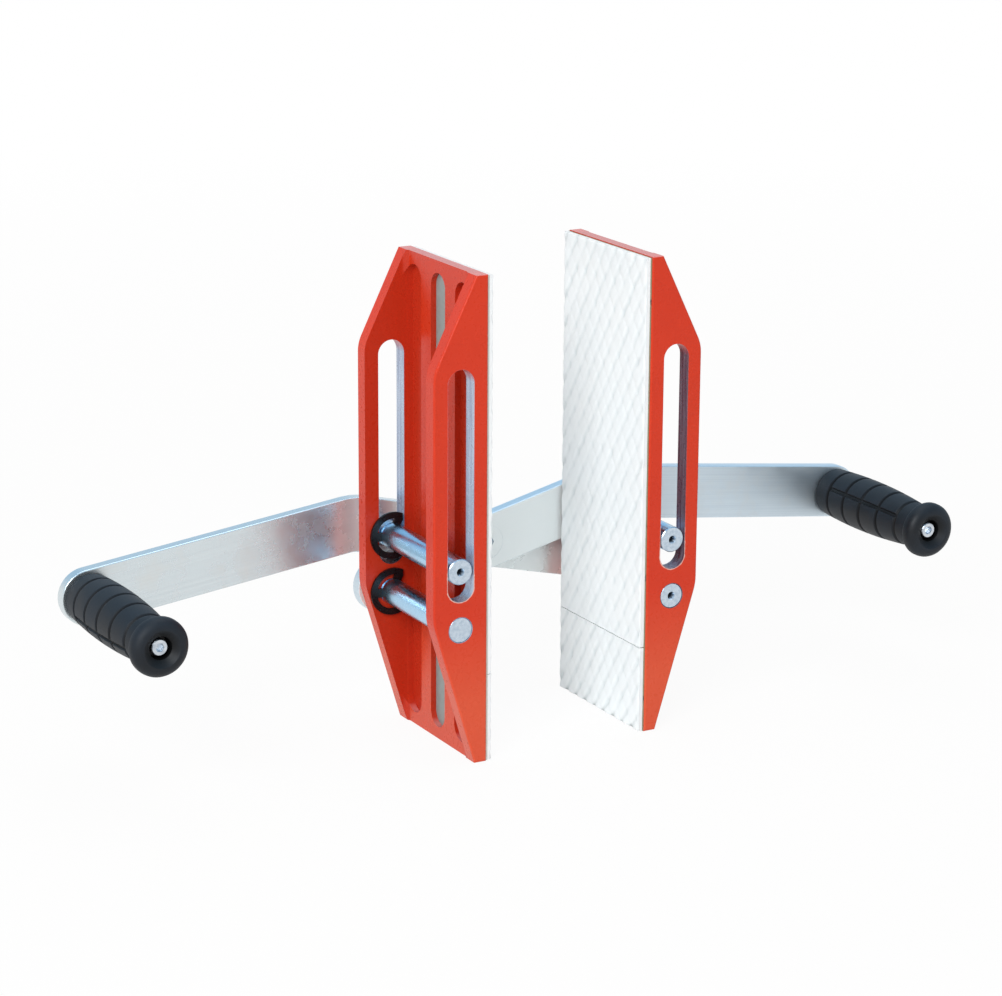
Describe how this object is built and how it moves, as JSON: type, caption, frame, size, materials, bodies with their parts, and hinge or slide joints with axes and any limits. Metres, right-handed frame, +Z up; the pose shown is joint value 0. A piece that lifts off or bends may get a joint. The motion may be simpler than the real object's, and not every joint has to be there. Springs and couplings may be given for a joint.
{
  "type": "slab lifting clamp",
  "caption": "Two-handed scissor clamp for carrying stone slabs: red channel jaws with white rubber pads, crossed flat bar arms and black grips.",
  "frame": {"origin": "centre of the bounding box at the bottom of the jaws", "axes": "+X from the left jaw to the right jaw, +Y from the grips' free ends towards the arms, +Z up"},
  "size_m": [0.5653, 0.1428, 0.3],
  "materials": {
    "red_coat": "powder coat, satin",
    "grey_backing": "mill finish",
    "white_rubber": "embossed, matt",
    "zinc_bar": "zinc plated, satin",
    "zinc_turned": "turned and zinc plated",
    "zinc_fastener": "zinc plated",
    "black_spring_steel": "phosphated and oiled",
    "black_rubber": "moulded, matt"
  },
  "bodies": {
    "left_jaw": {"left_jaw": "red_coat", "left_pad_backing": "grey_backing", "left_upper_pad": "white_rubber", "left_lower_pad": "white_rubber", "left_pivot_clip": "black_spring_steel"},
    "right_arm": {"right_arm": "zinc_bar", "left_pivot_pin": "zinc_turned", "left_pivot_spacer": "zinc_fastener", "left_pivot_washer": "zinc_fastener", "left_pivot_nut": "zinc_fastener", "right_slide_pin": "zinc_turned", "right_slide_spacer": "zinc_fastener", "right_slide_washer": "zinc_fastener", "right_slide_nut": "zinc_fastener", "centre_screw": "zinc_fastener", "centre_spacer": "zinc_fastener", "centre_washer": "zinc_fastener", "centre_nut": "zinc_fastener", "right_handle_post": "zinc_turned", "right_post_washer": "zinc_fastener", "right_post_nut": "zinc_fastener", "right_grip": "black_rubber", "right_grip_washer": "black_spring_steel", "right_grip_screw": "zinc_fastener"},
    "left_arm": {"left_arm": "zinc_bar", "right_pivot_pin": "zinc_turned", "right_pivot_spacer": "zinc_fastener", "right_pivot_washer": "zinc_fastener", "right_pivot_nut": "zinc_fastener", "left_slide_pin": "zinc_turned", "left_slide_spacer": "zinc_fastener", "left_slide_washer": "zinc_fastener", "left_slide_nut": "zinc_fastener", "left_handle_post": "zinc_turned", "left_post_washer": "zinc_fastener", "left_post_nut": "zinc_fastener", "left_grip": "black_rubber", "left_grip_washer": "black_spring_steel", "left_grip_screw": "zinc_fastener"},
    "right_jaw": {"right_jaw": "red_coat", "right_pad_backing": "grey_backing", "right_upper_pad": "white_rubber", "right_lower_pad": "white_rubber", "right_pivot_clip": "black_spring_steel"},
    "left_slide_clip": {"left_slide_clip": "black_spring_steel"},
    "right_slide_clip": {"right_slide_clip": "black_spring_steel"}
  },
  "joints": [
    {"name": "right_arm_pivot", "type": "hinge", "parent": "left_jaw", "child": "right_arm", "pos_m": [-0.07384, -0.0119, 0.086], "axis": [0, -1, 0], "range_deg": [-2, 59]},
    {"name": "arm_crossing", "type": "hinge", "parent": "right_arm", "child": "left_arm", "pos_m": [0, -0.0119, 0.104], "axis": [0, -1, 0], "range_deg": [-118, 4]},
    {"name": "right_jaw_pivot", "type": "hinge", "parent": "left_arm", "child": "right_jaw", "pos_m": [0.07384, -0.0119, 0.086], "axis": [0, -1, 0], "range_deg": [-2, 59]},
    {"name": "left_slide_clip_turn", "type": "hinge", "parent": "left_arm", "child": "left_slide_clip", "pos_m": [-0.07384, -0.0119, 0.122], "axis": [0, -1, 0], "range_deg": [-2, 59]},
    {"name": "right_slide_clip_turn", "type": "hinge", "parent": "right_arm", "child": "right_slide_clip", "pos_m": [0.07384, -0.0119, 0.122], "axis": [0, -1, 0], "range_deg": [-59, 2]}
  ],
  "couplings": [
    {"joint": "arm_crossing", "follows": "right_arm_pivot", "ratio": -2},
    {"joint": "right_jaw_pivot", "follows": "right_arm_pivot", "ratio": 1},
    {"joint": "left_slide_clip_turn", "follows": "right_arm_pivot", "ratio": 1},
    {"joint": "right_slide_clip_turn", "follows": "right_arm_pivot", "ratio": -1}
  ]
}
